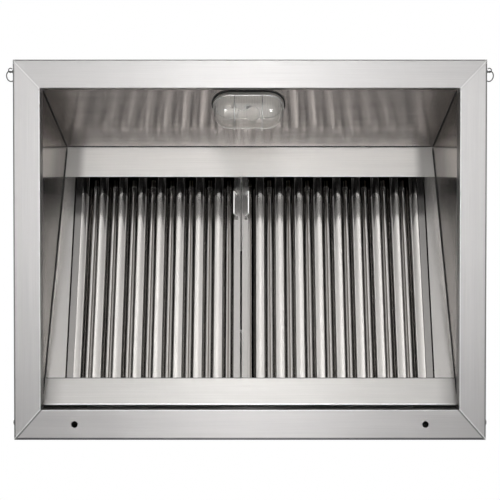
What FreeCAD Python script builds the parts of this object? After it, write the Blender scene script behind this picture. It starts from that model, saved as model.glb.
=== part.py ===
import FreeCAD, Part
import os

# Commercial canopy hood: a folded stainless box that hangs over a cook line, open
# below, with a sloping rack of two lift-out baffle filters and one caged light.
# +Z is up as installed, -Y is the cook's side and +Y the wall. The origin is the
# centre of the bottom rim's lower face. All sizes are in millimetres and degrees.

doc = FreeCAD.newDocument("canopy_hood")
sheet = doc.addObject("Spreadsheet::Sheet", "sizes")

driving_sizes = {
    # outer shell
    "hood_width": 1220,
    "hood_depth": 981,
    "hood_height": 380,
    "sheet_gauge": 1.5,
    "fit_gap": 0.2,
    # bottom rim with its upturned inner lip
    "rim_side": 69.2,
    "rim_front": 72.7,
    "rim_rear": 78.5,
    "lip_height": 35,
    "upstand_height": 25,
    "bend_radius": 3,
    "drain_spacing": 907,
    "drain_inset": 40.5,
    "drain_radius": 8.5,
    # inner liners, which lean inwards up to the rack's top edge
    "rack_top_height": 215,
    "front_liner_run": 130.5,
    "side_liner_run": 26.5,
    # filter rack
    "rack_slope": 15.5,
    "upper_rail_width": 88,
    "filter_opening": 558.1,
    "lower_rail_width": 70.7,
    "rail_end_gap": 1.2,
    "seam_offset": 24,
    "seam_gap": 5,
    "filler_width": 31,
    "filler_gap": 4,
    "filler_overlap": 15,
    # filters
    "filter_length": 622,
    "filter_thickness": 45,
    "filter_seat": 28,
    "frame_gauge": 1,
    "stile_width": 17,
    "baffle_gauge": 1,
    "ridge_width": 26,
    "ridge_height": 20,
    "ridge_radius": 5,
    "baffle_overlap": 6.1,
    "trough_height": 27,
    "trough_radius": 18,
    "left_ridge_margin": 23.5,
    "left_slot_margin": 32.5,
    "right_ridge_margin": 27.6,
    "right_slot_margin": 22.6,
    # bail handles of the filters
    "handle_span": 62,
    "handle_reach": 26,
    "handle_wire": 3.4,
    "handle_lean": 15,
    "handle_inset": 13,
    "handle_drop": 52.9,
    "ear_width": 7,
    "ear_length": 5,
    "ear_edge": 2.6,
    "pivot_clearance": 0.1,
    "pivot_length": 4.6,
    "swing_gap": 0.4,
    # light
    "light_offset": -4,
    "light_rise": 51,
    "light_straight": 96,
    "gasket_radius": 50,
    "gasket_thickness": 3,
    "base_radius": 46.5,
    "base_height": 9,
    "glass_radius": 43,
    "glass_wall": 3,
    "glass_skirt": 20,
    "guard_wire": 3,
    "guard_hoop_spacing": 72,
    "guard_gap": 0.5,
    "nipple_radius": 10,
    "nipple_bore": 7.5,
    "nipple_length": 34,
    "locknut_radius": 15,
    "locknut_height": 5,
    "holder_radius": 14,
    "holder_length": 34,
    "holder_inset": 20,
    "bulb_radius": 19,
    "bulb_neck_radius": 9,
    "bulb_neck_length": 30,
    # hanging eyes with loose rings on the side panels
    "front_eye_inset": 17,
    "front_eye_height": 60,
    "rear_eye_inset": 39,
    "rear_eye_height": 120,
    "eye_reach": 21,
    "eye_loop_radius": 5.5,
    "eye_wire": 2.6,
    "eye_opening": 40,
    "eye_nut_radius": 5,
    "eye_nut_height": 4,
    "eye_thread_length": 9,
    "ring_radius": 13.3,
    "ring_wire": 2.8,
    "ring_turn": 55,
    "ring_gap": 0.3,
    # wall fixing holes
    "wall_hole_width": 900,
    "wall_hole_height": 160,
    "wall_hole_drop": 125,
    "wall_hole_radius": 5.5,
    # duct collar
    "collar_radius": 127,
    "collar_height": 75,
    "collar_flange": 28,
    "collar_offset": 130,
    "collar_screw_head": 4,
    "collar_screw_height": 2.6,
    # junction box for the light
    "box_width": 110,
    "box_depth": 70,
    "box_height": 52,
    "box_wall": 2,
    "box_offset": 230,
    "box_setback": 90,
    "lid_edge": 4,
    "lid_screw_head": 3.2,
    "lid_screw_height": 2,
    "lid_screw_length": 9,
    "lid_boss_radius": 4,
    "gland_radius": 11,
    "gland_length": 14,
    "gland_bore": 5,
}
for row, (alias, size) in enumerate(driving_sizes.items(), start=1):
    sheet.set(f"A{row}", alias)
    sheet.set(f"B{row}", str(size))
    sheet.setAlias(f"B{row}", alias)
doc.recompute()

left_ridges = 8
right_ridges = 9
collar_screws = 8
same_place = 0.001
rounding_limit = 0.46

axis_x = FreeCAD.Vector(1, 0, 0)
axis_y = FreeCAD.Vector(0, 1, 0)
axis_z = FreeCAD.Vector(0, 0, 1)
axis_diagonal = FreeCAD.Vector(1, 1, 1)
nodes = []


def size(alias):
    return f"sizes.{alias}"


def value(alias):
    return float(sheet.get(alias))


def bind(item, formulas):
    for name, formula in formulas.items():
        item.setExpression(name, formula)
    return item


def place(item, x="0", y="0", z="0", axis=axis_z, angle="0"):
    item.Placement = FreeCAD.Placement(FreeCAD.Vector(), FreeCAD.Rotation(axis, 1))
    bind(item, {"Placement.Rotation.Angle": angle})
    return bind(item, {"Placement.Base.x": x, "Placement.Base.y": y, "Placement.Base.z": z})


def box(x_span, y_span, z_span):
    item = doc.addObject("Part::Box", "block")
    for name, span in (("Length", x_span), ("Width", y_span), ("Height", z_span)):
        bind(item, {name: f"({span[1]}) - ({span[0]})"})
    return place(item, x_span[0], y_span[0], z_span[0])


def cylinder(radius, height, x, y, z, axis=axis_z, angle="0"):
    item = bind(doc.addObject("Part::Cylinder", "rod"), {"Radius": radius, "Height": height})
    return place(item, x, y, z, axis, angle)


def sphere(radius, x, y, z):
    return place(bind(doc.addObject("Part::Sphere", "ball"), {"Radius": radius}), x, y, z)


def torus(ring, wire, sweep, x, y, z, axis=axis_z, angle="0"):
    item = doc.addObject("Part::Torus", "bend")
    bind(item, {"Radius1": ring, "Radius2": wire, "Angle3": sweep})
    return place(item, x, y, z, axis, angle)


def wedge(start, end, axis, angle):
    # A sheet whose outline changes evenly from its start to its end along local Y.
    item = doc.addObject("Part::Wedge", "taper")
    bind(item, {"Ymin": start["y"], "Ymax": end["y"]})
    bind(item, {"Xmin": start["x"][0], "Xmax": start["x"][1]})
    bind(item, {"X2min": end["x"][0], "X2max": end["x"][1]})
    bind(item, {"Zmin": start["z"][0], "Zmax": start["z"][1]})
    bind(item, {"Z2min": end["z"][0], "Z2max": end["z"][1]})
    return place(item, "0", "0", "0", axis, angle)


def fuse(items):
    item = doc.addObject("Part::MultiFuse", "joined")
    item.Shapes = items
    return item


def cut(base, tools):
    item = doc.addObject("Part::Cut", "cut")
    item.Base = base
    item.Tool = tools[0] if len(tools) == 1 else fuse(tools)
    return item


def common(base, tool):
    item = doc.addObject("Part::Common", "trimmed")
    item.Base = base
    item.Tool = tool
    return item


def rounded(item, radius, chosen):
    # Rounds the edges of an item whose middle passes the given test, as far as its width allows.
    doc.recompute()
    limits = item.Shape.BoundBox
    bend = min(radius, rounding_limit * limits.XLength)
    picked = []
    for number, edge in enumerate(item.Shape.Edges, start=1):
        if chosen(edge.CenterOfMass, limits):
            picked.append((number, bend, bend))
    result = doc.addObject("Part::Fillet", "rounded")
    result.Base = item
    result.Edges = picked
    return result


def group(items):
    item = doc.addObject("Part::Compound", "set")
    item.Links = items
    return item


def node(item, label):
    item.Label = label
    nodes.append(item)
    return item


def mirrored_spans(span):
    return (span, (f"-({span[1]})", f"-({span[0]})"))


half_width = f"({size('hood_width')} / 2)"
half_depth = f"({size('hood_depth')} / 2)"
gauge = size("sheet_gauge")
fit = size("fit_gap")
height = size("hood_height")
lip = size("lip_height")
rack_top = size("rack_top_height")
inner_x = f"({half_width} - {size('rim_side')})"
inner_front = f"({half_depth} - {size('rim_front')})"
inner_rear = f"({half_depth} - {size('rim_rear')})"

# Bottom rim: four folded strips with mitred ends. Each has an upstand along its outer
# edge, rounded at the fold, and an upturned lip along its inner edge.
upstand = size("upstand_height")
full_x = (f"-{half_width}", half_width)
open_x = (f"-{inner_x}", inner_x)
full_y = (f"-{half_depth}", half_depth)
open_y = (f"-{inner_front}", inner_rear)
flipped_y = (f"-{inner_rear}", inner_front)
mitre_z = (f"-{gauge}", f"2 * {lip}")


def near(first, second):
    return abs(first - second) < same_place


def rim_strip(face_spans, outer_spans, lip_spans, outer_edge, mitre):
    pieces = [
        box(face_spans[0], face_spans[1], ("0", gauge)),
        box(outer_spans[0], outer_spans[1], ("0", upstand)),
        box(lip_spans[0], lip_spans[1], ("0", lip)),
    ]
    return common(rounded(fuse(pieces), value("bend_radius"), outer_edge), mitre)


def mitre_block(first_x, first_y, last_x, last_y, angle):
    first = {"x": first_x, "y": first_y, "z": mitre_z}
    last = {"x": last_x, "y": last_y, "z": mitre_z}
    return wedge(first, last, axis_z, angle)


front_mitre = mitre_block(full_x, f"-{half_depth}", open_x, f"-{inner_front}", "0")
front_strip = rim_strip(
    (full_x, (f"-{half_depth}", f"-{inner_front}")),
    (full_x, (f"-{half_depth}", f"-{half_depth} + {gauge}")),
    (open_x, (f"-{inner_front} - {gauge}", f"-{inner_front}")),
    lambda middle, limits: near(middle.z, 0) and near(middle.y, limits.YMin),
    front_mitre,
)
node(front_strip, "rim_front")

rear_mitre = mitre_block(open_x, inner_rear, full_x, half_depth, "0")
rear_strip = rim_strip(
    (full_x, (inner_rear, half_depth)),
    (full_x, (f"{half_depth} - {gauge}", half_depth)),
    (open_x, (inner_rear, f"{inner_rear} + {gauge}")),
    lambda middle, limits: near(middle.z, 0) and near(middle.y, limits.YMax),
    rear_mitre,
)
drain_y = f"{half_depth} - {size('drain_inset')}"
drains = []
for side in ("-", ""):
    drain_x = f"{side}{size('drain_spacing')} / 2"
    drains.append(cylinder(size("drain_radius"), f"3 * {gauge}", drain_x, drain_y, f"-{gauge}"))
node(cut(rear_strip, drains), "rim_rear")

left_mitre = mitre_block(full_y, f"-{half_width}", flipped_y, f"-{inner_x}", "-90")
left_strip = rim_strip(
    ((f"-{half_width}", f"-{inner_x}"), full_y),
    ((f"-{half_width}", f"-{half_width} + {gauge}"), full_y),
    ((f"-{inner_x} - {gauge}", f"-{inner_x}"), open_y),
    lambda middle, limits: near(middle.z, 0) and near(middle.x, limits.XMin),
    left_mitre,
)
node(left_strip, "rim_left")

right_mitre = mitre_block(flipped_y, inner_x, full_y, half_width, "-90")
right_strip = rim_strip(
    ((inner_x, half_width), full_y),
    ((f"{half_width} - {gauge}", half_width), full_y),
    ((inner_x, f"{inner_x} + {gauge}"), open_y),
    lambda middle, limits: near(middle.z, 0) and near(middle.x, limits.XMax),
    right_mitre,
)
node(right_strip, "rim_right")

# Outer skins stand on the rim's upstands and carry the top panel.
wall_z = (upstand, f"{height} - {gauge}")
eye_places = (
    ("front", f"({size('front_eye_inset')} - {half_depth})", size("front_eye_height")),
    ("rear", f"({half_depth} - {size('rear_eye_inset')})", size("rear_eye_height")),
)
eye_wire = f"({size('eye_wire')} / 2)"
skin_x = mirrored_spans((f"{half_width} - {gauge}", half_width))
for label, turn, x_span in (("right_panel", 1, skin_x[0]), ("left_panel", -1, skin_x[1])):
    start_x = f"{turn} * {half_width} - 2 * {gauge}"
    holes = []
    for _, eye_y, eye_z in eye_places:
        hole = cylinder(f"{eye_wire} + {fit}", f"4 * {gauge}", start_x, eye_y, eye_z, axis_y, "90")
        holes.append(hole)
    node(cut(box(x_span, full_y, wall_z), holes), label)

between_sides = (f"-{half_width} + {gauge}", f"{half_width} - {gauge}")
node(box(between_sides, (f"-{half_depth}", f"-{half_depth} + {gauge}"), wall_z), "front_panel")
rear_skin = box(between_sides, (f"{half_depth} - {gauge}", half_depth), wall_z)
wall_holes = []
for x_side in (-1, 1):
    for z_side in (-1, 1):
        hole_x = f"{x_side} * {size('wall_hole_width')} / 2"
        hole_y = f"{half_depth} + {gauge}"
        hole_z = f"{height} - {size('wall_hole_drop')} + {z_side} * {size('wall_hole_height')} / 2"
        hole = cylinder(size("wall_hole_radius"), f"4 * {gauge}", hole_x, hole_y, hole_z, axis_x, "90")
        wall_holes.append(hole)
node(cut(rear_skin, wall_holes), "rear_panel")

collar_y = size("collar_offset")
collar_radius = size("collar_radius")
duct_radius = f"({collar_radius} - {gauge})"
top_z = f"({height} - {gauge})"
box_x = size("box_offset")
box_y = f"({size('box_setback')} - {half_depth})"
top_sheet = box(full_x, full_y, (top_z, height))
duct_hole = cylinder(duct_radius, f"4 * {gauge}", "0", collar_y, f"{height} - 2 * {gauge}")
wire_hole = cylinder(size("nipple_bore"), f"4 * {gauge}", box_x, box_y, f"{height} - 2 * {gauge}")
node(cut(top_sheet, [duct_hole, wire_hole]), "top_panel")

# Inner liners. The side liners lean from the lip up to the top panel, and the front
# liner leans from the lip to the rack's top edge, where an upright plate takes over.
lean_rate = f"({size('side_liner_run')} / ({rack_top} - {lip}))"


def liner_x(level):
    return f"({inner_x} - {lean_rate} * ({level} - {lip}))"


liner_ends = (f"-{half_depth} + {gauge}", f"{inner_front} + {fit}")
top_liner_x = liner_x(top_z)
for label, turn in (("right_liner", 1), ("left_liner", -1)):
    spans = []
    for level_x in (inner_x, top_liner_x):
        spans.append(mirrored_spans((level_x, f"{level_x} + {gauge}"))[0 if turn == 1 else 1])
    bottom = {"x": spans[0], "y": lip, "z": liner_ends}
    top = {"x": spans[1], "y": top_z, "z": liner_ends}
    node(wedge(bottom, top, axis_x, "90"), label)

front_top = f"({size('front_liner_run')} - {inner_front})"
liner_angle = f"atan({size('front_liner_run')} / ({rack_top} - {lip}))"
light_turn = f"-(90 + {liner_angle} / 1 deg)"
light_y = f"(-{inner_front} + {size('light_rise')} * sin({liner_angle}))"
light_z = f"({lip} + {size('light_rise')} * cos({liner_angle}))"
light_x = size("light_offset")


def on_front_liner(item):
    # Local Z points out of the liner into the hood, local Y down towards the rim.
    return place(item, light_x, light_y, light_z, axis_x, light_turn)


def across(level, margin):
    return (f"-({liner_x(level)} - {margin})", f"{liner_x(level)} - {margin}")


front_sheet = wedge(
    {"x": (f"-{inner_front} - {gauge}", f"-{inner_front}"), "y": lip, "z": across(lip, fit)},
    {"x": (f"{front_top} - {gauge}", front_top), "y": rack_top, "z": across(rack_top, fit)},
    axis_diagonal,
    "120",
)
nipple_length = size("nipple_length")
nipple_clear = f"{size('nipple_radius')} + {fit}"
nipple_way = cylinder(nipple_clear, f"2 * {nipple_length}", "0", "0", f"-{nipple_length}")
nipple_hole = on_front_liner(group([nipple_way]))
node(cut(front_sheet, [nipple_hole]), "front_liner")
node(
    wedge(
        {"x": (f"{front_top} - {gauge}", front_top), "y": rack_top, "z": across(rack_top, fit)},
        {"x": (f"{front_top} - {gauge}", front_top), "y": top_z, "z": across(top_z, fit)},
        axis_diagonal,
        "120",
    ),
    "plenum_front",
)

# Filter rack, laid out flat and then tilted about its top edge: local Y runs down
# the slope from that edge and local Z is the depth behind the rails' faces.


def on_rack(item):
    return place(item, "0", front_top, rack_top, axis_x, f"-{size('rack_slope')}")


def rack_level(along):
    return f"({rack_top} - ({along}) * sin({size('rack_slope')} * 1 deg))"


upper_edge = size("upper_rail_width")
lower_edge = f"({upper_edge} + {size('filter_opening')})"
rack_end = f"({lower_edge} + {size('lower_rail_width')})"
seat = f"({lower_edge} + {size('filter_seat')})"
face = f"({gauge} + {fit})"
filter_back = f"({face} + {size('filter_thickness')})"
channel_top = f"({filter_back} + {fit})"


def rail_x(along):
    half = f"({liner_x(rack_level(along))} - {size('rail_end_gap')})"
    return (f"-{half}", half)


def rail(face_start, face_end, web_start, flange_start, flange_end):
    # A face plate, an upright web that stops the filters and a rear flange over them.
    first = {"x": rail_x(face_start), "y": face_start, "z": ("0", gauge)}
    last = {"x": rail_x(face_end), "y": face_end, "z": ("0", gauge)}
    flange_z = (channel_top, f"{channel_top} + {gauge}")
    half = f"({liner_x(rack_top + ' + ' + flange_z[1])} - {size('rail_end_gap')})"
    width = (f"-{half}", half)
    pieces = [
        wedge(first, last, axis_z, "0"),
        box(width, (web_start, f"{web_start} + {gauge}"), ("0", flange_z[1])),
        box(width, (flange_start, flange_end), flange_z),
    ]
    return on_rack(fuse(pieces))


node(rail(fit, upper_edge, fit, fit, upper_edge), "upper_rail")
node(rail(lower_edge, rack_end, seat, lower_edge, f"{seat} + {gauge}"), "lower_rail")

# Flat fillers close the rack between the filters and the leaning side liners.
filler_start = f"({upper_edge} - {size('filler_overlap')})"
filler_end = f"({lower_edge} + {size('filler_overlap')})"
filler_edge = f"({liner_x(rack_level(filler_start))} - {size('filler_width')})"
bank_half = f"({filler_edge} - {size('filler_gap')})"
for label, turn in (("right_filler", 0), ("left_filler", 1)):
    ends = []
    for along in (filler_start, filler_end):
        reach = f"{liner_x(rack_level(along))} - {fit} - {gauge} * {lean_rate}"
        x_span = mirrored_spans((filler_edge, reach))[turn]
        ends.append({"x": x_span, "y": along, "z": (gauge, f"2 * {gauge}")})
    plate = wedge(ends[0], ends[1], axis_z, "0")
    guide_x = mirrored_spans((filler_edge, f"{filler_edge} + {gauge}"))[turn]
    guide = box(guide_x, (filler_start, filler_end), (gauge, filter_back))
    node(on_rack(fuse([plate, guide])), label)

# Filters. Each has a folded frame, a front row of round-shouldered ridges and a rear
# row of troughs behind the slots between them.
filter_end = f"({seat} - {fit})"
filter_start = f"({filter_end} - {size('filter_length')})"
frame_gauge = size("frame_gauge")
baffle_gauge = size("baffle_gauge")
stile = size("stile_width")
baffle_y = (f"{filter_start} + {frame_gauge} + {fit}", f"{filter_end} - {frame_gauge} - {fit}")
ridge_face = f"({face} + {frame_gauge} + {fit})"
trough_back = f"({filter_back} - {frame_gauge} - {fit})"


def low_shoulder(middle, limits):
    return near(middle.z, limits.ZMin) and near(middle.y, limits.Center.y)


def high_shoulder(middle, limits):
    return near(middle.z, limits.ZMax) and near(middle.y, limits.Center.y)


def channel(middle, width, radius, z_span, hollow_z, shoulder):
    half = f"{width} / 2"
    hollow_half = f"({width} / 2 - {baffle_gauge})"
    hollow_y = (f"{baffle_y[0]} - {baffle_gauge}", f"{baffle_y[1]} + {baffle_gauge}")
    outer = box((f"{middle} - {half}", f"{middle} + {half}"), baffle_y, z_span)
    hollow = box((f"{middle} - {hollow_half}", f"{middle} + {hollow_half}"), hollow_y, hollow_z)
    outer_round = rounded(outer, radius, shoulder)
    hollow_round = rounded(hollow, radius - value("baffle_gauge"), shoulder)
    return cut(outer_round, [hollow_round])


def filter_frame(x_span):
    outer = box(x_span, (filter_start, filter_end), (face, filter_back))
    hollow = box(
        (f"{x_span[0]} + {frame_gauge}", f"{x_span[1]} - {frame_gauge}"),
        (f"{filter_start} + {frame_gauge}", f"{filter_end} - {frame_gauge}"),
        (f"{face} + {frame_gauge}", f"{filter_back} - {frame_gauge}"),
    )
    window = box(
        (f"{x_span[0]} + {stile}", f"{x_span[1]} - {stile}"),
        (f"{filter_start} + {stile}", f"{filter_end} - {stile}"),
        (f"{face} - {frame_gauge}", f"{filter_back} + {frame_gauge}"),
    )
    return cut(outer, [hollow, window])


def filter_baffles(first_ridge, pitch, ridges, side):
    ridge_top = f"{ridge_face} + {size('ridge_height')}"
    trough_mouth = f"{trough_back} - {size('trough_height')}"
    ridge_hollow = (f"{ridge_face} + {baffle_gauge}", f"{ridge_top} + {baffle_gauge}")
    trough_hollow = (f"{trough_mouth} - {baffle_gauge}", f"{trough_back} - {baffle_gauge}")
    trough_width = f"({pitch} - {size('ridge_width')} + 2 * {size('baffle_overlap')})"
    front_row = []
    rear_row = []
    for index in range(ridges):
        ridge_x = f"({first_ridge} + {side} * {index} * {pitch})"
        slot_x = f"({ridge_x} + {side} * {pitch} / 2)"
        ridge_z = (ridge_face, ridge_top)
        trough_z = (trough_mouth, trough_back)
        ridge_size = (size("ridge_width"), value("ridge_radius"))
        trough_size = (trough_width, value("trough_radius"))
        front_row.append(channel(ridge_x, *ridge_size, ridge_z, ridge_hollow, low_shoulder))
        rear_row.append(channel(slot_x, *trough_size, trough_z, trough_hollow, high_shoulder))
    return group(front_row), group(rear_row)


# Bail handle: a wire loop whose two pins turn in ears on the filter's stile.
wire = f"({size('handle_wire')} / 2)"
handle_start = f"({upper_edge} + {size('handle_drop')})"
handle_finish = f"({handle_start} + {size('handle_span')})"
pivot_z = f"({face} - {size('ear_edge')} - {wire})"
ear_low = f"({pivot_z} - {wire} - {size('ear_edge')})"


def handle_wire():
    # Drawn about its own pivot line, hanging straight down.
    pin = f"({size('pivot_length')} + {wire})"
    grip_z = f"-{size('handle_reach')}"
    pieces = [
        cylinder(wire, pin, "0", f"{handle_start} - {pin}", "0", axis_x, "-90"),
        cylinder(wire, pin, "0", handle_finish, "0", axis_x, "-90"),
        cylinder(wire, size("handle_span"), "0", handle_start, grip_z, axis_x, "-90"),
    ]
    for along in (handle_start, handle_finish):
        pieces.append(cylinder(wire, size("handle_reach"), "0", along, grip_z))
        pieces.append(sphere(wire, "0", along, grip_z))
        pieces.append(sphere(wire, "0", along, "0"))
    return fuse(pieces)


def handle_ears(x):
    length = size("ear_length")
    bore = f"{wire} + {size('pivot_clearance')}"
    first_end = f"({handle_start} - {wire} - {size('swing_gap')})"
    last_start = f"({handle_finish} + {wire} + {size('swing_gap')})"
    ears = []
    for start in (f"({first_end} - {length})", last_start):
        x_span = (f"{x} - {size('ear_width')} / 2", f"{x} + {size('ear_width')} / 2")
        block = box(x_span, (start, f"{start} + {length}"), (ear_low, face))
        hole = cylinder(bore, f"3 * {length}", x, f"{start} - {length}", pivot_z, axis_x, "-90")
        ears.append(cut(block, [hole]))
    return group(ears)


seam = f"(-{size('seam_offset')})"
seam_half = f"({size('seam_gap')} / 2)"
left_x = (f"-{bank_half}", f"{seam} - {seam_half}")
right_x = (f"{seam} + {seam_half}", bank_half)
filters = (
    ("left", left_x, left_x[0], left_ridges, 1),
    ("right", right_x, right_x[1], right_ridges, -1),
)
for name, x_span, outer_edge, ridges, side in filters:
    # Ridges run inwards from the outer stile, and the last slot lies beside the seam.
    ridge_margin = size(f"{name}_ridge_margin")
    slot_margin = size(f"{name}_slot_margin")
    first_ridge = f"({outer_edge} + {side} * {ridge_margin})"
    filter_width = f"({x_span[1]} - ({x_span[0]}))"
    pitch = f"(({filter_width} - {ridge_margin} - {slot_margin}) / ({ridges} - 0.5))"
    front_row, rear_row = filter_baffles(first_ridge, pitch, ridges, side)
    handle_x = f"({seam} - {side} * {size('handle_inset')})"
    node(on_rack(filter_frame(x_span)), f"{name}_filter_frame")
    node(on_rack(front_row), f"{name}_front_baffles")
    node(on_rack(rear_row), f"{name}_rear_baffles")
    node(on_rack(handle_ears(handle_x)), f"{name}_handle_ears")
    leaning = place(handle_wire(), handle_x, "0", pivot_z, axis_y, f"{side} * {size('handle_lean')}")
    node(on_rack(group([leaning])), f"{name}_handle")

# Light on the front liner: gasket, cast base, glass bowl, wire guard and lamp.
straight_half = f"({size('light_straight')} / 2)"
base_bottom = size("gasket_thickness")
base_top = f"({base_bottom} + {size('base_height')})"
glass_axis = f"({base_top} + {size('glass_skirt')})"
glass_radius = size("glass_radius")


def oval(radius, z_span):
    depth = f"({z_span[1]}) - ({z_span[0]})"
    pieces = [box((f"-{straight_half}", straight_half), (f"-{radius}", radius), z_span)]
    for side in ("-", ""):
        pieces.append(cylinder(radius, depth, f"{side}{straight_half}", "0", z_span[0]))
    return fuse(pieces)


def bowl(radius):
    pieces = [
        oval(radius, (base_top, glass_axis)),
        cylinder(radius, size("light_straight"), f"-{straight_half}", "0", glass_axis, axis_y, "90"),
    ]
    for side in ("-", ""):
        pieces.append(sphere(radius, f"{side}{straight_half}", "0", glass_axis))
    return fuse(pieces)


def below_base():
    reach = f"({straight_half} + 2 * {size('gasket_radius')})"
    return box((f"-{reach}", reach), (f"-{reach}", reach), (f"-{reach}", base_top))


nipple_gap = f"{size('nipple_radius')} + {fit}"
gasket_hole = cylinder(nipple_gap, f"3 * {base_bottom}", "0", "0", f"-{base_bottom}")
node(on_front_liner(cut(oval(size("gasket_radius"), ("0", base_bottom)), [gasket_hole])), "light_gasket")
base_hole = cylinder(nipple_gap, f"3 * {size('base_height')}", "0", "0", "0")
node(on_front_liner(cut(oval(size("base_radius"), (base_bottom, base_top)), [base_hole])), "light_base")
glass_inside = f"({glass_radius} - {size('glass_wall')})"
node(on_front_liner(cut(bowl(glass_radius), [bowl(glass_inside), below_base()])), "light_glass")

guard_wire = f"({size('guard_wire')} / 2)"
guard_radius = f"({glass_radius} + {size('guard_gap')} + {guard_wire})"
ring_z = f"({base_top} + {guard_wire})"
guard = []
for turn, side in (("-90", ""), ("90", "-")):
    guard.append(torus(guard_radius, guard_wire, "180", f"{side}{straight_half}", "0", ring_z, axis_z, turn))
    rail_y = f"{side}{guard_radius}"
    guard.append(
        cylinder(guard_wire, size("light_straight"), f"-{straight_half}", rail_y, ring_z, axis_y, "90")
    )
    hoop_x = f"{side}{size('guard_hoop_spacing')} / 2"
    hoop = torus(guard_radius, guard_wire, "180", "0", "0", "0", axis_x, "90")
    guard.append(place(group([hoop]), hoop_x, "0", glass_axis, axis_z, "90"))
    for leg_side in ("", "-"):
        leg_y = f"{leg_side}{guard_radius}"
        guard.append(cylinder(guard_wire, f"{glass_axis} - {ring_z}", hoop_x, leg_y, ring_z))
node(on_front_liner(fuse(guard)), "light_guard")

nipple_start = f"({base_top} - {nipple_length})"
nipple_rod = cylinder(size("nipple_radius"), nipple_length, "0", "0", nipple_start)
nipple_core = cylinder(size("nipple_bore"), f"2 * {nipple_length}", "0", "0", f"2 * {nipple_start}")
node(on_front_liner(cut(nipple_rod, [nipple_core])), "light_nipple")
liner_back = f"(-{gauge} * cos({liner_angle}) - {fit})"
nut_start = f"({liner_back} - {size('locknut_height')})"
nut = cylinder(size("locknut_radius"), size("locknut_height"), "0", "0", nut_start)
nut_bore = cylinder(nipple_gap, f"3 * {size('locknut_height')}", "0", "0", f"2 * {nut_start}")
node(on_front_liner(cut(nut, [nut_bore])), "light_locknut")

holder_x = f"({size('holder_inset')} - {straight_half})"
holder_axis = f"({base_top} + {size('holder_radius')} + {size('glass_skirt')} / 2)"
holder_start = f"({holder_x} - {size('holder_length')})"
holder = [
    cylinder(size("holder_radius"), size("holder_length"), holder_start, "0", holder_axis, axis_y, "90"),
    box(
        (holder_start, f"{holder_start} + {size('holder_length')} / 2"),
        (f"-{size('holder_radius')} / 2", f"{size('holder_radius')} / 2"),
        (base_top, holder_axis),
    ),
]
node(on_front_liner(fuse(holder)), "lamp_holder")
neck = size("bulb_neck_length")
bulb_x = f"({holder_x} + {neck} + {size('bulb_radius')} / 2)"
bulb = [
    cylinder(size("bulb_neck_radius"), f"{bulb_x} - {holder_x}", holder_x, "0", holder_axis, axis_y, "90"),
    sphere(size("bulb_radius"), bulb_x, "0", holder_axis),
]
node(on_front_liner(fuse(bulb)), "lamp_bulb")

# Hanging eyes on the side panels, each with a nut inside and a loose ring outside.
loop = size("eye_loop_radius")
ring_wire = f"({size('ring_wire')} / 2)"
ring_drop = f"({loop} - {eye_wire} - {ring_wire} - {size('ring_gap')} + {size('ring_radius')})"
nut_height = size("eye_nut_height")
opening = size("eye_opening")
eyes = []
eye_nuts = []
for end, eye_y, eye_z in eye_places:
    for hand, side in (("left", -1), ("right", 1)):
        loop_x = f"({side} * ({half_width} + {size('eye_reach')}))"
        shank_length = f"({size('eye_thread_length')} + {size('eye_reach')} - {loop})"
        nut_face = f"({half_width} - {gauge} - {fit})"
        if side == 1:
            turn = f"180 + {opening}"
            shank_x = f"{half_width} - {size('eye_thread_length')}"
            nut_x = f"({nut_face} - {nut_height})"
        else:
            turn = "0"
            shank_x = f"{loop_x} + {loop}"
            nut_x = f"(-{nut_face})"
        bend = torus(loop, eye_wire, f"360 - {opening}", loop_x, eye_y, eye_z, axis_z, turn)
        shank = cylinder(eye_wire, shank_length, shank_x, eye_y, eye_z, axis_y, "90")
        eyes.append(fuse([bend, shank]))
        blank = cylinder(size("eye_nut_radius"), nut_height, nut_x, eye_y, eye_z, axis_y, "90")
        bore_x = f"{nut_x} - {nut_height}"
        bore = cylinder(f"{eye_wire} + {fit}", f"3 * {nut_height}", bore_x, eye_y, eye_z, axis_y, "90")
        eye_nuts.append(cut(blank, [bore]))
        hoop = torus(size("ring_radius"), ring_wire, "360", "0", "0", "0")
        ring_angle = f"{side} * {size('ring_turn')}"
        ring = place(group([hoop]), loop_x, f"{eye_y} + {ring_drop}", eye_z, axis_y, ring_angle)
        node(ring, f"ring_{end}_{hand}")
node(group(eyes), "hanging_eyes")
node(group(eye_nuts), "eye_nuts")

# Duct collar on the top panel, with its ring of screws.
collar_tube = cylinder(collar_radius, size("collar_height"), "0", collar_y, height)
collar_ring = cylinder(f"{collar_radius} + {size('collar_flange')}", gauge, "0", collar_y, height)
collar_bore = cylinder(duct_radius, f"3 * {size('collar_height')}", "0", collar_y, top_z)
node(cut(fuse([collar_tube, collar_ring]), [collar_bore]), "duct_collar")
heads = []
for index in range(collar_screws):
    around = f"{index} * 360 deg / {collar_screws}"
    middle = f"({collar_radius} + {size('collar_flange')} / 2)"
    head_x = f"{middle} * cos({around})"
    head_y = f"{collar_y} + {middle} * sin({around})"
    head_z = f"{height} + {gauge}"
    heads.append(cylinder(size("collar_screw_head"), size("collar_screw_height"), head_x, head_y, head_z))
node(group(heads), "collar_screws")

# Junction box for the light's wiring, on the top panel near the front.
box_half = f"({size('box_width')} / 2)"
box_half_depth = f"({size('box_depth')} / 2)"
box_wall = size("box_wall")
box_top = f"({height} + {size('box_height')})"


def around_box(shrink):
    return (
        (f"{box_x} - {box_half} + {shrink}", f"{box_x} + {box_half} - {shrink}"),
        (f"{box_y} - {box_half_depth} + {shrink}", f"{box_y} + {box_half_depth} - {shrink}"),
    )


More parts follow.
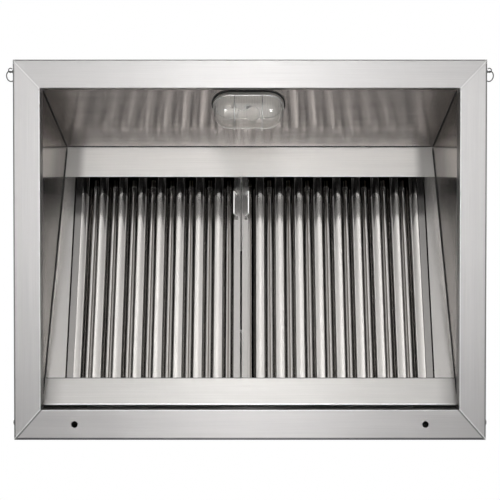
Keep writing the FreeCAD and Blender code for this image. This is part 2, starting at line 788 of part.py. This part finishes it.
outside = around_box("0")
inside = around_box(box_wall)
case = box(outside[0], outside[1], (height, box_top))
room = box(inside[0], inside[1], (f"{height} + {box_wall}", f"{box_top} + {box_wall}"))
feed = cylinder(size("nipple_bore"), f"3 * {box_wall}", box_x, box_y, f"{height} - {box_wall}")
gland_z = f"({height} + {size('box_height')} / 2)"
gland_x = f"({box_x} + {box_half})"
hole_x = f"{gland_x} - 2 * {box_wall}"
gland_hole = cylinder(size("gland_bore"), f"4 * {box_wall}", hole_x, box_y, gland_z, axis_y, "90")
corner = f"({box_wall} + {size('lid_boss_radius')} / 2)"
corners = [
    (f"{box_x} + {sx} * ({box_half} - {corner})", f"{box_y} + {sy} * ({box_half_depth} - {corner})")
    for sx in (-1, 1)
    for sy in (-1, 1)
]
screw_radius = f"({size('lid_boss_radius')} / 3)"
bosses = []
boss_holes = []
lid_holes = []
lid_screws = []
lid_top = f"({box_top} + {box_wall})"
for x, y in corners:
    boss_height = f"{size('box_height')} - {box_wall}"
    bosses.append(cylinder(size("lid_boss_radius"), boss_height, x, y, f"{height} + {box_wall}"))
    hole_z = f"{lid_top} - 2 * {size('lid_screw_length')}"
    hole_height = f"3 * {size('lid_screw_length')}"
    boss_holes.append(cylinder(f"{screw_radius} + {fit}", hole_height, x, y, hole_z))
    lid_holes.append(cylinder(f"{screw_radius} + {fit}", hole_height, x, y, hole_z))
    shank_z = f"{lid_top} - {size('lid_screw_length')}"
    shank = cylinder(screw_radius, size("lid_screw_length"), x, y, shank_z)
    head = cylinder(size("lid_screw_head"), size("lid_screw_height"), x, y, lid_top)
    lid_screws.append(fuse([shank, head]))
shell = fuse([cut(case, [room]), *bosses])
node(cut(shell, [feed, gland_hole, *boss_holes]), "junction_box")
lid_span = around_box(f"-{size('lid_edge')}")
lid = box(lid_span[0], lid_span[1], (box_top, lid_top))
node(cut(lid, lid_holes), "junction_lid")
node(group(lid_screws), "lid_screws")
gland_length = size("gland_length")
gland_body = cylinder(size("gland_radius"), gland_length, gland_x, box_y, gland_z, axis_y, "90")
core_x = f"{gland_x} - {gland_length}"
gland_core = cylinder(size("gland_bore"), f"3 * {gland_length}", core_x, box_y, gland_z, axis_y, "90")
node(cut(gland_body, [gland_core]), "cable_gland")

doc.recompute()
failed = [item.Name for item in doc.Objects if "Invalid" in item.State or "Error" in item.State]
if failed:
    raise RuntimeError(f"these objects failed: {failed}")
for item in nodes:
    if item.Shape.isNull() or not item.Shape.isValid():
        raise RuntimeError(f"{item.Label} has no valid shape")
os.makedirs("parts", exist_ok=True)
for item in nodes:
    item.Shape.exportStep(f"parts/{item.Label}.step")
    print(item.Label, len(item.Shape.Solids), round(item.Shape.Volume))
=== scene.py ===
import math

import bmesh
import bpy
import mathutils
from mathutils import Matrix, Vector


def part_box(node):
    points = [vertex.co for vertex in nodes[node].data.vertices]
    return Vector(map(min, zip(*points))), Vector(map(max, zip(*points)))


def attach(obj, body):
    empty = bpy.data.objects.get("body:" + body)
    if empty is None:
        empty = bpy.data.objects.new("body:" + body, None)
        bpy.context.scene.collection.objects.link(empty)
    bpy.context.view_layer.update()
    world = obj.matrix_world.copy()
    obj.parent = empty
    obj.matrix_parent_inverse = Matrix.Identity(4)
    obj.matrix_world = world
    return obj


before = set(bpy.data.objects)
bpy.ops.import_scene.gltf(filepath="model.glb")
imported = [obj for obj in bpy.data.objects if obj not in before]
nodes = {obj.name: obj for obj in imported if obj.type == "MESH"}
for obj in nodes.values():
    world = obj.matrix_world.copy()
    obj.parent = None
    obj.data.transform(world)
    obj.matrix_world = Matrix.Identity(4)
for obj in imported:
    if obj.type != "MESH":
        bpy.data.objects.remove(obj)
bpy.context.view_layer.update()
print("frame loaded:", len(nodes), "nodes")


def setInputs(tree, node, inputs):  # each input is a plain value or another node's socket
    for socket, value in inputs.items():
        if isinstance(value, bpy.types.NodeSocket):
            tree.links.new(value, node.inputs[socket])
        else:
            node.inputs[socket].default_value = value


def addNode(tree, kind, inputs=None, **settings):
    node = tree.nodes.new(f"ShaderNode{kind}")
    for setting, value in settings.items():
        setattr(node, setting, value)
    setInputs(tree, node, inputs or {})
    return node


def objectPlace(tree):
    return addNode(tree, "TexCoord").outputs["Object"]


def objectParts(tree):
    return addNode(tree, "SeparateXYZ", {"Vector": objectPlace(tree)}).outputs


def mathChain(tree, value, steps):
    for operation, amount in steps:
        value = addNode(tree, "Math", {0: value, 1: amount}, operation=operation).outputs[0]
    return value


def softStep(tree, value, start, end, low, high):  # eases from low to high between start and end
    ease = addNode(tree, "MapRange", {
        "Value": value, "From Min": start, "From Max": end, "To Min": low, "To Max": high,
    }, interpolation_type="SMOOTHSTEP")
    return ease.outputs["Result"]


def stripeCurve(tree, value, first, pitch, half):  # 0 along each stripe's middle, 1 at its edges
    return mathChain(tree, value, [
        ("SUBTRACT", first - pitch / 2),
        ("DIVIDE", pitch),
        ("FRACT", 0.0),
        ("SUBTRACT", 0.5),
        ("MULTIPLY", pitch / half),
        ("POWER", 2.0),
        ("MINIMUM", 1.0),
    ])


def paintOver(tree, share, tone):  # the tone where the share is 1, the colour below it where 0
    target = tree.nodes["Principled BSDF"].inputs["Base Color"]
    paint = addNode(tree, "Mix", {"Factor": share}, data_type="RGBA")
    under, over = [socket for socket in paint.inputs if socket.type == "RGBA"]
    over.default_value = tone
    if target.is_linked:
        tree.links.new(target.links[0].from_socket, under)
    else:
        under.default_value = target.default_value
    tree.links.new(next(socket for socket in paint.outputs if socket.type == "RGBA"), target)


def plainMaterial(name, values):
    material = bpy.data.materials.new(name)
    material.use_nodes = True
    setInputs(material.node_tree, material.node_tree.nodes["Principled BSDF"], values)
    return material


def dress(members, material):
    for member in members:
        nodes[member].data.materials.clear()
        nodes[member].data.materials.append(material)


# brushed sheet: long fine scratches along one axis, with slow drifts in tone
brushedSheet = {
    "color": (0.64, 0.63, 0.62, 1.0),
    "darkShare": 0.86,       # tone of the darker scratches
    "roughness": 0.34,
    "roughSpread": 0.10,
    "anisotropy": 0.75,      # reflections smear across the scratches
    "scratchAcross": 700.0,  # scratches in a metre
    "scratchAlong": 5.0,
    "scratchDetail": 4.0,
    "driftAcross": 40.0,
    "driftAlong": 1.5,
    "driftDetail": 2.0,
    "driftShare": 0.35,
    "noiseRoughness": 0.6,
    "noiseSpan": (0.3, 0.7),  # the noise seldom leaves it
    "bumpStrength": 0.06,
    "bumpDistance": 0.0003,
}
grainAxis = {"X": (1.0, 0.0, 0.0), "Y": (0.0, 1.0, 0.0)}


def brushedMaterial(name, grain, look):
    material = plainMaterial(name, {"Metallic": 1.0, "Anisotropic": look["anisotropy"]})
    tree = material.node_tree
    noises = []
    for layer in ("scratch", "drift"):
        along, across = look[f"{layer}Along"], look[f"{layer}Across"]
        mapping = addNode(tree, "Mapping", {
            "Vector": objectPlace(tree),
            "Scale": [along if axis == grain else across for axis in "XYZ"],
        })
        noise = addNode(tree, "TexNoise", {
            "Vector": mapping.outputs["Vector"],
            "Scale": 1.0,
            "Detail": look[f"{layer}Detail"],
            "Roughness": look["noiseRoughness"],
        })
        noises.append(noise.outputs["Fac"])
    scratch, drift = noises
    blend = addNode(tree, "Mix", {"Factor": look["driftShare"], "A": scratch, "B": drift})
    ramp = addNode(tree, "ValToRGB", {"Fac": blend.outputs["Result"]})
    darkColor = [part * look["darkShare"] for part in look["color"][:3]] + [1.0]
    for index, color in enumerate((darkColor, look["color"])):
        ramp.color_ramp.elements[index].position = look["noiseSpan"][index]
        ramp.color_ramp.elements[index].color = color
    rough = addNode(tree, "MapRange", {
        "Value": blend.outputs["Result"],
        "From Min": look["noiseSpan"][0],
        "From Max": look["noiseSpan"][1],
        "To Min": look["roughness"] - look["roughSpread"] / 2,
        "To Max": look["roughness"] + look["roughSpread"] / 2,
    })
    bump = addNode(tree, "Bump", {
        "Height": scratch, "Strength": look["bumpStrength"], "Distance": look["bumpDistance"],
    }, name="scratches")
    facing = addNode(tree, "NewGeometry").outputs["Normal"]
    smear = addNode(tree, "VectorMath", {0: facing, 1: grainAxis[grain]}, operation="CROSS_PRODUCT")
    setInputs(tree, tree.nodes["Principled BSDF"], {
        "Base Color": ramp.outputs["Color"],
        "Roughness": rough.outputs["Result"],
        "Normal": bump.outputs["Normal"],
        "Tangent": smear.outputs["Vector"],
    })
    return material


def bendSheet(tree, height, depth):  # a broad hollow or bow under the scratches
    bend = addNode(tree, "Bump", {"Height": height, "Strength": 1.0, "Distance": depth})
    tree.links.new(bend.outputs["Normal"], tree.nodes["scratches"].inputs["Normal"])


# one brushed steel, toned lighter or darker part by part for the light each part gets: painted
# light on the front liner and upper rail, painted shade on the rear rim, fillers, filter frames and
# rear baffles
rimLook = dict(brushedSheet, color=(0.745, 0.729, 0.722, 1.0))
rearRimShadedLook = dict(brushedSheet, color=(0.70, 0.682, 0.675, 1.0))
linerLook = dict(
    brushedSheet, color=(0.68, 0.652, 0.626, 1.0), roughness=0.18, roughSpread=0.05, anisotropy=0.9,
)
frontLinerLitLook = dict(linerLook, color=(0.93, 0.868, 0.838, 1.0), roughness=0.17, anisotropy=1.0)
fillerShadedLook = dict(linerLook, color=(0.48, 0.463, 0.446, 1.0), roughness=0.14, roughSpread=0.04)
upperRailLitLook = dict(brushedSheet, color=(0.92, 0.897, 0.867, 1.0), roughness=0.48)
lowerRailLook = dict(brushedSheet, color=(0.69, 0.672, 0.65, 1.0))
baffleLook = dict(
    brushedSheet, color=(0.56, 0.538, 0.516, 1.0), roughness=0.055, roughSpread=0.03,
    anisotropy=0.0, bumpStrength=0.02,
)
frameShadedLook = dict(baffleLook, color=(0.31, 0.299, 0.288, 1.0))
troughShadedLook = dict(baffleLook, color=(0.40, 0.385, 0.37, 1.0))
panelLook = dict(brushedSheet, roughness=0.36)

sheetPieces = {
    "rimFront": ("X", rimLook, ["rim_front"]),
    "rimRear": ("X", rearRimShadedLook, ["rim_rear"]),
    "rimSides": ("Y", rimLook, ["rim_left", "rim_right"]),
    "upperRail": ("X", upperRailLitLook, ["upper_rail"]),
    "lowerRail": ("X", lowerRailLook, ["lower_rail"]),
    "frontLinerAlongX": ("X", frontLinerLitLook, ["front_liner", "plenum_front"]),
    "sideLinerAlongY": ("Y", linerLook, ["left_liner", "right_liner"]),
    "fillerAlongY": ("Y", fillerShadedLook, ["left_filler", "right_filler"]),
    "panelAlongX": ("X", panelLook, ["front_panel", "rear_panel", "top_panel"]),
    "panelAlongY": ("Y", panelLook, ["left_panel", "right_panel"]),
    "frameAlongY": ("Y", frameShadedLook, ["left_filter_frame", "right_filter_frame"]),
}
for name, (grain, look, members) in sheetPieces.items():
    dress(members, brushedMaterial(name, grain, look))

# painted shade where the rim's outer edge turns up and down its inner lip, a painted highlight
# along the inner bend, and ground mitres at the corners, drawn as bright lines beside dark ones,
# partly their own finish and partly painted highlight and shade;
# painted highlights along the rails' lower hems, painted shade on the lower rail under the filters,
# and on the rails and the front liner a painted reflection of the darker side liners toward their
# ends
edgeTones = {
    "deep": (0.15, 0.15, 0.15, 1.0),
    "dark": (0.27, 0.27, 0.265, 1.0),
    "dull": (0.34, 0.33, 0.32, 1.0),
    "shade": (0.40, 0.37, 0.352, 1.0),
    "soft": (0.47, 0.456, 0.442, 1.0),
    "faint": (0.66, 0.646, 0.64, 1.0),
    "pale": (0.82, 0.806, 0.80, 1.0),
    "bright": (0.92, 0.92, 0.91, 1.0),
}
frontward, rearward, sideward = (0.0, -1.0), (0.0, 1.0), (1.0, 0.0)
frontMitre, rearMitre = (0.7243, 0.6894), (0.7501, -0.6613)  # square to the corner joints
middle, beyond = 0.0, 0.70  # on the centre line, and past every edge
edgeMarks = {  # direction, start and end along it, blur, tone
    "rimFront": [
        (frontward, 0.4872, beyond, 0.002, "dark"),
        (frontward, middle, 0.4181, 0.0006, "dull"),
        (frontMitre, 0.1002, 0.1028, 0.0012, "faint"),
    ],
    "rimRear": [
        (rearward, 0.4846, beyond, 0.0015, "deep"),
        (rearward, 0.4124, 0.4150, 0.0006, "bright"),
        (rearward, middle, 0.4123, 0.0006, "dull"),
        (rearMitre, 0.1297, 0.1352, 0.002, "dark"),
    ],
    "rimSides": [
        (sideward, 0.6058, beyond, 0.002, "dark"),
        (sideward, 0.5412, 0.5435, 0.0006, "bright"),
        (sideward, middle, 0.5411, 0.0006, "dull"),
        (rearMitre, 0.1312, 0.1362, 0.002, "bright"),
        (frontMitre, 0.1036, 0.1062, 0.0012, "pale"),
        (frontMitre, 0.1074, 0.1098, 0.0012, "faint"),
    ],
    "frontLinerAlongX": [
        (sideward, 0.4780, beyond, 0.07, "shade"),
    ],
    "upperRail": [
        (rearward, -0.2050, -0.2020, 0.0008, "bright"),
        (sideward, 0.4700, beyond, 0.03, "soft"),
    ],
    "lowerRail": [
        (rearward, 0.3995, beyond, 0.0008, "bright"),
        (sideward, 0.5150, beyond, 0.07, "dull"),
        (rearward, middle, 0.3374, 0.0008, "deep"),
    ],
}
for name, marks in edgeMarks.items():
    tree = bpy.data.materials[name].node_tree
    parts = objectParts(tree)
    across = mathChain(tree, parts["X"], [("ABSOLUTE", 0.0)])  # both hands of the hood read as one
    folded = addNode(tree, "CombineXYZ", {"X": across, "Y": parts["Y"]}).outputs["Vector"]
    for toward, start, end, blur, tone in marks:
        along = addNode(tree, "VectorMath", {0: folded, 1: (*toward, 0.0)}, operation="DOT_PRODUCT")
        distance, half = along.outputs["Value"], blur / 2
        rising = softStep(tree, distance, start - half, start + half, 0.0, 1.0)
        falling = softStep(tree, distance, end - half, end + half, 1.0, 0.0)
        paintOver(tree, mathChain(tree, rising, [("MULTIPLY", falling)]), edgeTones[tone])
print("folds and edges marked")

# the front liner bows in toward the rack, so beside the groove it mirrors the filters, not the rail
linerBow = {"start": -0.3300, "groove": -0.2873, "depth": 0.0082}
tree = bpy.data.materials["frontLinerAlongX"].node_tree
reach = addNode(tree, "MapRange", {
    "Value": objectParts(tree)["Y"], "From Min": linerBow["start"], "From Max": linerBow["groove"],
})
bow = mathChain(tree, reach.outputs["Result"], [("POWER", 2.0)])
bendSheet(tree, bow, linerBow["depth"])

# rolling leaves the face of each front baffle slightly hollow; painted shade darkens each ridge
# above a rounded line below the upper rail, and runs as a dark line down the middle of each rear
# baffle
baffleRows = {
    "count": {"left": 8, "right": 9},
    "ridgeWidth": 0.026,
    "hollowHalf": 0.012,
    "hollowDepth": 0.0015,
    "capY": -0.1590,         # where the ridges come out of the upper rail's shade
    "capBow": 0.012,         # the shade ends in a round on each ridge
    "capBlur": 0.003,
    "capTone": (0.10, 0.096, 0.092, 1.0),
    "shadeLineHalf": 0.0024,
    "shadeLineFade": (0.2, 1.0),
    "shadeLineTone": (0.10, 0.088, 0.078, 1.0),
}
for hand, count in baffleRows["count"].items():
    low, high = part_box(f"{hand}_front_baffles")
    firstRidge = low[0] + baffleRows["ridgeWidth"] / 2
    pitch = (high[0] - low[0] - baffleRows["ridgeWidth"]) / (count - 1)

    ridgeMaterial = brushedMaterial(f"{hand}FrontBaffles", "Y", baffleLook)
    tree = ridgeMaterial.node_tree
    parts = objectParts(tree)
    curve = stripeCurve(tree, parts["X"], firstRidge, pitch, baffleRows["hollowHalf"])
    bendSheet(tree, curve, baffleRows["hollowDepth"])
    capEdge = mathChain(tree, curve, [("MULTIPLY", -baffleRows["capBow"]), ("ADD", parts["Y"])])
    capEnd = baffleRows["capY"] + baffleRows["capBlur"]
    capShare = softStep(tree, capEdge, baffleRows["capY"], capEnd, 1.0, 0.0)
    paintOver(tree, capShare, baffleRows["capTone"])
    dress([f"{hand}_front_baffles"], ridgeMaterial)

    troughMaterial = brushedMaterial(f"{hand}RearBaffles", "Y", troughShadedLook)
    tree = troughMaterial.node_tree
    across, firstTrough = objectParts(tree)["X"], firstRidge + pitch / 2
    curve = stripeCurve(tree, across, firstTrough, pitch, baffleRows["shadeLineHalf"])
    # painted shade: a dark line down the middle of each rear baffle
    shadeLineShare = softStep(tree, curve, *baffleRows["shadeLineFade"], 1.0, 0.0)
    paintOver(tree, shadeLineShare, baffleRows["shadeLineTone"])
    dress([f"{hand}_rear_baffles"], troughMaterial)
print("sheet metal finished")

zincSheet = {"Base Color": (0.52, 0.54, 0.55, 1.0), "Metallic": 1.0, "Roughness": 0.38}
smallFinishes = {
    "bailWire": ({"Base Color": (0.94, 0.93, 0.92, 1.0), "Metallic": 0.3, "Roughness": 0.25}, [
        "left_handle", "right_handle",
    ]),
    "guardWire": ({"Base Color": (0.97, 0.965, 0.955, 1.0), "Metallic": 0.8, "Roughness": 0.18}, [
        "light_guard",
    ]),
    # the bail ears are coloured dark, painted shade at the top of the filters
    "shadedPressedSteel": ({"Base Color": (0.20, 0.195, 0.19, 1.0), "Metallic": 1.0, "Roughness": 0.3}, [
        "left_handle_ears", "right_handle_ears",
    ]),
    # the rings and eyes are coloured near black, painted shade
    "shadedWire": ({"Base Color": (0.17, 0.17, 0.168, 1.0), "Metallic": 1.0, "Roughness": 0.42}, [
        "ring_front_left", "ring_front_right", "ring_rear_left", "ring_rear_right", "hanging_eyes",
    ]),
    "zincPlate": (zincSheet, ["junction_box", "junction_lid"]),
    "zincCollar": (zincSheet, ["duct_collar"]),
    "zincFastener": ({"Base Color": (0.58, 0.58, 0.57, 1.0), "Metallic": 1.0, "Roughness": 0.28}, [
        "eye_nuts", "collar_screws", "lid_screws", "light_nipple", "light_locknut",
    ]),
    "castAluminium": ({"Base Color": (0.85, 0.83, 0.80, 1.0), "Metallic": 0.9, "Roughness": 0.35}, [
        "light_base",
    ]),
    "blackRubber": ({"Base Color": (0.02, 0.02, 0.02, 1.0), "Roughness": 0.6}, ["light_gasket"]),
    # the white ceramic holder is coloured grey, painted shade inside the bowl
    "shadedWhiteCeramic": ({"Base Color": (0.42, 0.40, 0.37, 1.0), "Roughness": 0.3}, ["lamp_holder"]),
    "blackPlastic": ({"Base Color": (0.03, 0.03, 0.03, 1.0), "Roughness": 0.5}, ["cable_gland"]),
    "clearGlass": ({
        "Base Color": (0.86, 0.84, 0.815, 1.0), "Roughness": 0.05, "IOR": 1.48,
        "Transmission Weight": 0.9,
    }, ["light_glass"]),
    "frostedBulb": ({
        "Base Color": (0.93, 0.90, 0.86, 1.0), "Roughness": 0.2, "IOR": 1.2,
        "Transmission Weight": 0.93,
    }, ["lamp_bulb"]),
}
for name, (values, members) in smallFinishes.items():
    dress(members, plainMaterial(name, values))

# painted shade: the collar is dark inside, where the duct leads away
collarInnerShade = {
    "axis": (0.0, 0.13, 0.0),
    "wall": (0.1258, 0.1266),  # the painted shade ends within the sheet
    "tone": (0.015, 0.014, 0.013, 1.0),
}
tree = bpy.data.materials["zincCollar"].node_tree
plan = addNode(tree, "VectorMath", {0: objectPlace(tree), 1: (1.0, 1.0, 0.0)}, operation="MULTIPLY")
spoke = addNode(tree, "VectorMath", {
    0: plan.outputs["Vector"], 1: collarInnerShade["axis"],
}, operation="DISTANCE")
innerShadeShare = softStep(tree, spoke.outputs["Value"], *collarInnerShade["wall"], 1.0, 0.0)
paintOver(tree, innerShadeShare, collarInnerShade["tone"])

# fine upright flutes pressed into the glass bowl, with a painted highlight along their crests
flutes = {"pitch": 0.0042, "depth": 0.00004, "crest": (1.0, 0.985, 0.965, 1.0)}
tree = bpy.data.materials["clearGlass"].node_tree
ripple = mathChain(tree, objectParts(tree)["X"], [
    ("MULTIPLY", 2 * math.pi / flutes["pitch"]),
    ("SINE", 0.0),
])
crestHighlightShare = addNode(tree, "MapRange", {"Value": ripple, "From Min": -1.0})
paintOver(tree, crestHighlightShare.outputs["Result"], flutes["crest"])
fluteBump = addNode(tree, "Bump", {
    "Height": ripple, "Strength": 1.0, "Distance": flutes["depth"],
})
setInputs(tree, tree.nodes["Principled BSDF"], {"Normal": fluteBump.outputs["Normal"]})
print("small pieces finished")

# beads of dark sealant in the inner joints
sealant = {
    "radius": {"corner": (0.0028, 0.0028), "groove": (0.0020, 0.0020), "rack": (0.0029, 0.0014)},
    "ripple": 0.07,
    "waves": ((0.9, 0.0), (0.37, 1.0)),  # rate and phase of what makes up the ripple
    "tip": 0.35,             # share of the radius at each end
    "tipGrowth": 0.25,       # and what it gains with each ring
    "sides": 12,
    "step": 0.006,
    "mouth": (0.5408, -0.4178, 0.035),
    "rackTop": (0.5143, -0.2873, 0.215),
    "rackEnd": (0.5408, 0.3770, 0.0308),
    "groove": (0.5143, -0.2886, 0.2132),
}
sealantFinish = plainMaterial("sealant", {
    "Base Color": (0.012, 0.012, 0.012, 1.0), "Roughness": 0.45,
})


def addBead(name, start, end, radius):
    start, end = mathutils.Vector(start), mathutils.Vector(end)
    along = end - start
    count = int(along.length / sealant["step"])
    side = along.orthogonal().normalized()
    other = along.normalized().cross(side)
    turns = [2 * math.pi * part / sealant["sides"] for part in range(sealant["sides"])]
    build = bmesh.new()
    rings = []
    for index in range(count + 1):
        share = index / count
        waves = [math.sin(index * rate + phase) for rate, phase in sealant["waves"]]
        ripple = 1 + sealant["ripple"] * sum(waves) / len(waves)
        taper = min(1.0, sealant["tip"] + sealant["tipGrowth"] * min(index, count - index))
        reach = (radius[0] + (radius[1] - radius[0]) * share) * taper * ripple
        centre = start + along * share
        rings.append([
            build.verts.new(centre + (side * math.cos(turn) + other * math.sin(turn)) * reach)
            for turn in turns
        ])
    for first, second in zip(rings, rings[1:]):
        for part in range(sealant["sides"]):
            after = (part + 1) % sealant["sides"]
            build.faces.new((first[part], first[after], second[after], second[part]))
    build.faces.new(rings[0][::-1])
    build.faces.new(rings[-1])
    bmesh.ops.recalc_face_normals(build, faces=build.faces)
    mesh = bpy.data.meshes.new(name)
    build.to_mesh(mesh)
    build.free()
    for face in mesh.polygons:
        face.use_smooth = True
    mesh.materials.append(sealantFinish)
    bead = bpy.data.objects.new(name, mesh)
    bpy.context.scene.collection.objects.link(bead)
    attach(bead, "hood")


def mirrored(point, sign):
    return (sign * point[0], point[1], point[2])


for hand, sign in (("left", -1), ("right", 1)):
    rackTop = mirrored(sealant["rackTop"], sign)
    mouth, rackEnd = mirrored(sealant["mouth"], sign), mirrored(sealant["rackEnd"], sign)
    addBead(f"cornerBead.{hand}", mouth, rackTop, sealant["radius"]["corner"])
    addBead(f"rackBead.{hand}", rackTop, rackEnd, sealant["radius"]["rack"])
groove = sealant["groove"]
addBead("grooveBead", mirrored(groove, -1), groove, sealant["radius"]["groove"])
print("joints sealed")

# stage: a pale floor under the hanging hood with pools of light on it, and white surroundings
studio = {
    "floorHeight": -2.7,
    "floorSize": 14.0,
    "floorColor": (0.80, 0.80, 0.80, 1.0),
    "horizonTone": 0.30,
    "whiteFrom": 0.55,       # upward share of a direction where the surroundings are fully white
    "skyStrength": 0.15,     # how much the surroundings light matt surfaces
    "ductShade": (0.9903, 0.9935),  # straight overhead, where the duct leads away, it is dark
}
bpy.ops.mesh.primitive_plane_add(size=studio["floorSize"], location=(0, 0, studio["floorHeight"]))
floor = bpy.context.object
floor.name = "floor"
floor.data.materials.append(plainMaterial("paleFloor", {
    "Base Color": studio["floorColor"], "Roughness": 0.9,
}))

# cards on the floor in front are what the upper ends of the filters mirror, and show nowhere else
floorCards = {
    "greyCard": {"near": -1.90, "far": -2.04, "halfWidth": 6.0, "lift": 0.02, "tone": 0.20},
    "blackCard": {"near": -2.04, "far": -2.28, "halfWidth": 6.0, "lift": 0.02, "tone": 0.01},
    "whiteTape": {"near": -2.055, "far": -2.08, "halfWidth": 0.7, "lift": 0.03, "tone": 0.80},
}
for name, card in floorCards.items():
    near, far, wide = card["near"], card["far"], card["halfWidth"]
    height = studio["floorHeight"] + card["lift"]
    corners = [
        (-wide, far, height), (wide, far, height), (wide, near, height), (-wide, near, height),
    ]
    cardMesh = bpy.data.meshes.new(name)
    cardMesh.from_pydata(corners, [], [(0, 1, 2, 3)])
    tone = (card["tone"], card["tone"], card["tone"], 1.0)
    cardMesh.materials.append(plainMaterial(name, {"Base Color": tone, "Roughness": 1.0}))
    cardObject = bpy.data.objects.new(name, cardMesh)
    cardObject.visible_camera = False
    cardObject.visible_shadow = False
    cardObject.visible_diffuse = False
    bpy.context.scene.collection.objects.link(cardObject)

# seen straight or in a mirror the surroundings are bright, but they light matt surfaces little
world = bpy.data.worlds.new("studio")
bpy.context.scene.world = world
world.use_nodes = True
tree = world.node_tree
rays = addNode(tree, "LightPath").outputs
direction = addNode(tree, "TexCoord").outputs["Generated"]
upward = addNode(tree, "SeparateXYZ", {"Vector": direction}).outputs["Z"]
rise = addNode(tree, "MapRange", {
    "Value": upward, "From Max": studio["whiteFrom"], "To Min": studio["horizonTone"],
})
ductStart, ductEnd = studio["ductShade"]
duct = addNode(tree, "MapRange", {
    "Value": upward, "From Min": ductStart, "From Max": ductEnd, "To Min": 1.0, "To Max": 0.0,
})
skyTone = mathChain(tree, rise.outputs["Result"], [
    ("MAXIMUM", rays["Is Camera Ray"]),  # white behind the object from every side
    ("MULTIPLY", duct.outputs["Result"]),
])
skyLight = tree.nodes["Background"]
setInputs(tree, skyLight, {"Color": (1.0, 1.0, 1.0, 1.0), "Strength": studio["skyStrength"]})
skySeen = addNode(tree, "Background", {"Color": skyTone, "Strength": 1.0})
seen = mathChain(tree, rays["Is Camera Ray"], [
    ("MAXIMUM", rays["Is Glossy Ray"]),
    ("MAXIMUM", rays["Is Transmission Ray"]),
])
skyMix = addNode(tree, "MixShader", {"Fac": seen, 1: skyLight.outputs[0], 2: skySeen.outputs[0]})
setInputs(tree, tree.nodes["World Output"], {"Surface": skyMix.outputs[0]})


def addLamp(name, shape, size, power, place, aim):
    data = bpy.data.lights.new(name, "AREA")
    data.shape = shape
    data.size, data.size_y = size
    data.energy = power
    lamp = bpy.data.objects.new(name, data)
    lamp.location = place
    heading = mathutils.Vector(aim) - mathutils.Vector(place)
    lamp.rotation_euler = heading.to_track_quat("-Z", "Y").to_euler()
    lamp.visible_camera = False
    bpy.context.scene.collection.objects.link(lamp)
    return lamp


# strip lamps over the floor, aimed down, make the pools of light that the steel mirrors
poolLamps = {
    "middlePool": {"x": 0.0, "y": -0.6, "height": 1.0, "size": (0.2, 3.4), "power": 43.0},
    "frontPool": {"x": 0.0, "y": -3.0, "height": 0.9, "size": (0.8, 0.5), "power": 15.0},
    "rearPool": {"x": 0.0, "y": 2.8, "height": 0.7, "size": (0.5, 0.8), "power": 17.0},
    "leftPool": {"x": -1.5, "y": -0.6, "height": 0.9, "size": (0.3, 2.2), "power": 12.6},
    "rightPool": {"x": 1.5, "y": -0.6, "height": 0.9, "size": (0.3, 2.2), "power": 11.8},
}
for name, pool in poolLamps.items():
    aim = (pool["x"], pool["y"], studio["floorHeight"])
    place = (pool["x"], pool["y"], studio["floorHeight"] + pool["height"])
    poolLamp = addLamp(name, "RECTANGLE", pool["size"], pool["power"], place, aim)
    poolLamp.visible_glossy = False

# two soft lamps low at the sides put the sparks on the glass bowl and pick out the bails
sparkLamps = {
    "places": ((-1.36, -0.74, -2.15), (1.36, -0.74, -2.15)),
    "aim": (0.0, -0.37, 0.06),
    "size": (0.8, 0.8),
    "power": 34.0,
    "lights": ["light_glass", "left_handle", "right_handle"],
}
sparkled = bpy.data.collections.new("sparkled")
for member in sparkLamps["lights"]:
    sparkled.objects.link(nodes[member])
for index, place in enumerate(sparkLamps["places"]):
    sparkLamp = addLamp(
        f"sparkLamp{index}", "DISK", sparkLamps["size"], sparkLamps["power"], place,
        sparkLamps["aim"],
    )
    sparkLamp.light_linking.receiver_collection = sparkled

# camera under the hood, looking up with the cook's side at the top of the picture
viewpoint = {
    "place": (0.0001, -0.0346, -2.3),
    "tilt": math.radians(0.84),
    "lens": 64.28,
    "sensor": 36.0,
    "clipEnd": 50.0,
}
cameraData = bpy.data.cameras.new("photoCamera")
cameraData.lens = viewpoint["lens"]
cameraData.sensor_width = viewpoint["sensor"]
cameraData.clip_end = viewpoint["clipEnd"]
camera = bpy.data.objects.new("photoCamera", cameraData)
lean, level = math.sin(viewpoint["tilt"]), math.cos(viewpoint["tilt"])
turn = mathutils.Matrix(((1, 0, 0), (0, -level, -lean), (0, lean, -level)))
camera.matrix_world = mathutils.Matrix.Translation(viewpoint["place"]) @ turn.to_4x4()
bpy.context.scene.collection.objects.link(camera)
bpy.context.scene.camera = camera
bpy.context.scene.view_settings.view_transform = "Standard"
print("studio ready")
